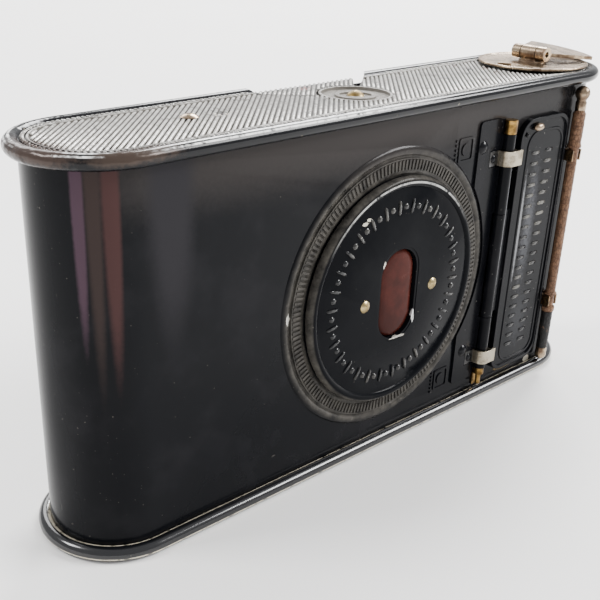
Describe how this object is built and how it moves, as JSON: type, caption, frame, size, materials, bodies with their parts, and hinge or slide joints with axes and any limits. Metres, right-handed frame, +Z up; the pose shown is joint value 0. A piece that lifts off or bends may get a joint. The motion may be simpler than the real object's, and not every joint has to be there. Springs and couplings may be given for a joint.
{
  "type": "vest pocket folding roll-film camera",
  "caption": "Flat folding roll-film camera with rounded ends, lift-off ribbed cover, folding winding key, hinged writing door, red window disc and a strutted lens board that pulls out.",
  "frame": {"origin": "centre of the bottom plate's flat face", "axes": "+Z up from the bottom plate to the ribbed cover, +Y out of the back with the red window, -Y along the lens axis to the subject, X along the length with the winding key at -X"},
  "size_m": [0.121, 0.0258, 0.0642],
  "materials": {
    "japanned_metal": "gloss black japan, worn to bare metal at the edges",
    "ribbed_metal": "worn grey-black on stamped ribs",
    "nickel": "worn nickel plate",
    "brass": "dull",
    "black_steel": "blackened",
    "copper_worn": "brown, worn",
    "red_film": "clear red",
    "leather": "fine black",
    "felt": "napped",
    "wood": "turned",
    "optical_glass": "polished",
    "wheel_metal": "satin"
  },
  "bodies": {
    "case": {"base_plate": "japanned_metal", "base_pivots": "nickel", "body_shell": "japanned_metal", "hinge_plate": "japanned_metal", "hinge_straps": "nickel", "hinge_rivets": "nickel", "hinge_pin": "brass", "door_spring": "brass", "stylus_clips": "japanned_metal", "film_gate": "japanned_metal", "case_pins": "nickel", "bellows": "leather"},
    "cover": {"top_cover": "ribbed_metal", "latch_rivet": "brass", "cover_rivet": "nickel", "cover_pivot": "nickel"},
    "latch": {"cover_latch": "ribbed_metal"},
    "key": {"key_dish": "nickel", "key_spindle": "nickel", "key_pin": "nickel"},
    "wing": {"key_wing": "nickel"},
    "spool": {"spool_core": "wood", "spool_flanges": "japanned_metal"},
    "roller_l": {"roller_left": "nickel"},
    "roller_r": {"roller_right": "nickel"},
    "door": {"writing_door": "japanned_metal", "door_pad": "felt", "door_lip": "nickel"},
    "pen": {"stylus": "copper_worn", "stylus_end": "nickel"},
    "back_disc": {"window_disc": "japanned_metal", "window_frame": "japanned_metal", "ruby_window": "red_film", "window_rivets": "brass"},
    "board": {"front_board": "japanned_metal", "board_brackets": "black_steel", "finger_grips": "japanned_metal", "shutter_case": "japanned_metal", "shutter_face": "japanned_metal", "lens_ring": "nickel", "lens_glass": "optical_glass"},
    "struts_a1": {"link_a1_left": "black_steel", "link_a1_right": "black_steel", "rivets_a1": "nickel"},
    "struts_b1": {"link_b1_left": "black_steel", "link_b1_right": "black_steel", "rivets_b1": "nickel"},
    "struts_b2": {"link_b2_left": "black_steel", "link_b2_right": "black_steel", "rivets_b2": "nickel"},
    "struts_a2": {"link_a2_left": "black_steel", "link_a2_right": "black_steel", "rivets_a2": "nickel"},
    "wheel": {"aperture_wheel": "wheel_metal"},
    "blade": {"shutter_blade": "black_steel"},
    "release": {"release_lever": "nickel"},
    "pointer": {"speed_pointer": "nickel"},
    "finder": {"finder_body": "japanned_metal", "finder_lens": "optical_glass", "finder_window": "optical_glass"}
  },
  "joints": [
    {"name": "board_slide", "type": "slide", "parent": "case", "child": "board", "axis": [0, -1, 0], "range_m": [0, 0.044], "deforming": ["bellows"]},
    {"name": "strut_a1", "type": "hinge", "parent": "case", "child": "struts_a1", "pos_m": [0, 0.00022, 0.008], "axis": [1, 0, 0], "range_deg": [0, 30.44]},
    {"name": "strut_b1", "type": "hinge", "parent": "struts_a1", "child": "struts_b1", "pos_m": [0, -0.00144, 0.03029], "axis": [-1, 0, 0], "range_deg": [0, 60.88]},
    {"name": "strut_b2", "type": "hinge", "parent": "struts_a1", "child": "struts_b2", "pos_m": [0, -0.00309, 0.05258], "axis": [-1, 0, 0], "range_deg": [0, 60.88]},
    {"name": "strut_a2", "type": "hinge", "parent": "struts_b2", "child": "struts_a2", "pos_m": [0, -0.00475, 0.03029], "axis": [1, 0, 0], "range_deg": [0, 60.88]},
    {"name": "cover_lift", "type": "slide", "parent": "case", "child": "cover", "axis": [0, 0, 1], "range_m": [0, 0.04]},
    {"name": "latch_swing", "type": "hinge", "parent": "cover", "child": "latch", "pos_m": [0, 0, 0.059], "axis": [0, 0, -1], "range_deg": [0, 6.5]},
    {"name": "spool_turn", "type": "hinge", "parent": "case", "child": "spool", "pos_m": [-0.04815, 0, 0.03], "axis": [0, 0, 1], "continuous": true},
    {"name": "key_turn", "type": "hinge", "parent": "cover", "child": "key", "pos_m": [-0.04815, 0, 0.06], "axis": [0, 0, 1], "continuous": true},
    {"name": "wing_fold", "type": "hinge", "parent": "key", "child": "wing", "pos_m": [-0.0473, 0, 0.0629], "axis": [0, 1, 0], "range_deg": [0, 95]},
    {"name": "roller_left_turn", "type": "hinge", "parent": "case", "child": "roller_l", "pos_m": [0.0394, 0.0067, 0.03], "axis": [0, 0, 1], "continuous": true},
    {"name": "roller_right_turn", "type": "hinge", "parent": "case", "child": "roller_r", "pos_m": [-0.0394, 0.0067, 0.03], "axis": [0, 0, 1], "continuous": true},
    {"name": "door_hinge", "type": "hinge", "parent": "case", "child": "door", "pos_m": [-0.0271, 0.01163, 0.028], "axis": [0, 0, -1], "range_deg": [0, 105], "stiffness_Nm_per_rad": 0.0015, "springref_deg": -17.19},
    {"name": "stylus_unclip", "type": "slide", "parent": "case", "child": "pen", "axis": [0, 1, 0], "range_m": [0, 0.03]},
    {"name": "disc_turn", "type": "hinge", "parent": "case", "child": "back_disc", "pos_m": [0, 0.011, 0.0296], "axis": [0, 1, 0], "range_deg": [0, 14]},
    {"name": "stop_wheel_turn", "type": "hinge", "parent": "board", "child": "wheel", "pos_m": [0.0054, -0.0096, 0.0305], "axis": [0, 1, 0], "range_deg": [0, 114]},
    {"name": "release_press", "type": "hinge", "parent": "board", "child": "release", "pos_m": [-0.0096, -0.0102, 0.0305], "axis": [0, 1, 0], "range_deg": [0, 12], "stiffness_Nm_per_rad": 0.001, "springref_deg": -11.46},
    {"name": "blade_swing", "type": "hinge", "parent": "board", "child": "blade", "pos_m": [-0.0096, -0.0091, 0.0305], "axis": [0, -1, 0], "range_deg": [0, 45.1]},
    {"name": "speed_turn", "type": "hinge", "parent": "board", "child": "pointer", "pos_m": [0, -0.012, 0.0405], "axis": [0, 1, 0], "range_deg": [-30, 30]},
    {"name": "finder_swivel", "type": "hinge", "parent": "board", "child": "finder", "pos_m": [0.0205, -0.007, 0.0456], "axis": [0, 1, 0], "range_deg": [0, 90]}
  ],
  "couplings": [
    {"joint": "strut_a1", "follows": "board_slide", "rad_per_m": 11.996},
    {"joint": "strut_b1", "follows": "board_slide", "rad_per_m": 23.991},
    {"joint": "strut_b2", "follows": "board_slide", "rad_per_m": 23.991},
    {"joint": "strut_a2", "follows": "board_slide", "rad_per_m": 23.991},
    {"joint": "key_turn", "follows": "spool_turn", "ratio": 1},
    {"joint": "blade_swing", "follows": "release_press", "ratio": 3.75}
  ]
}
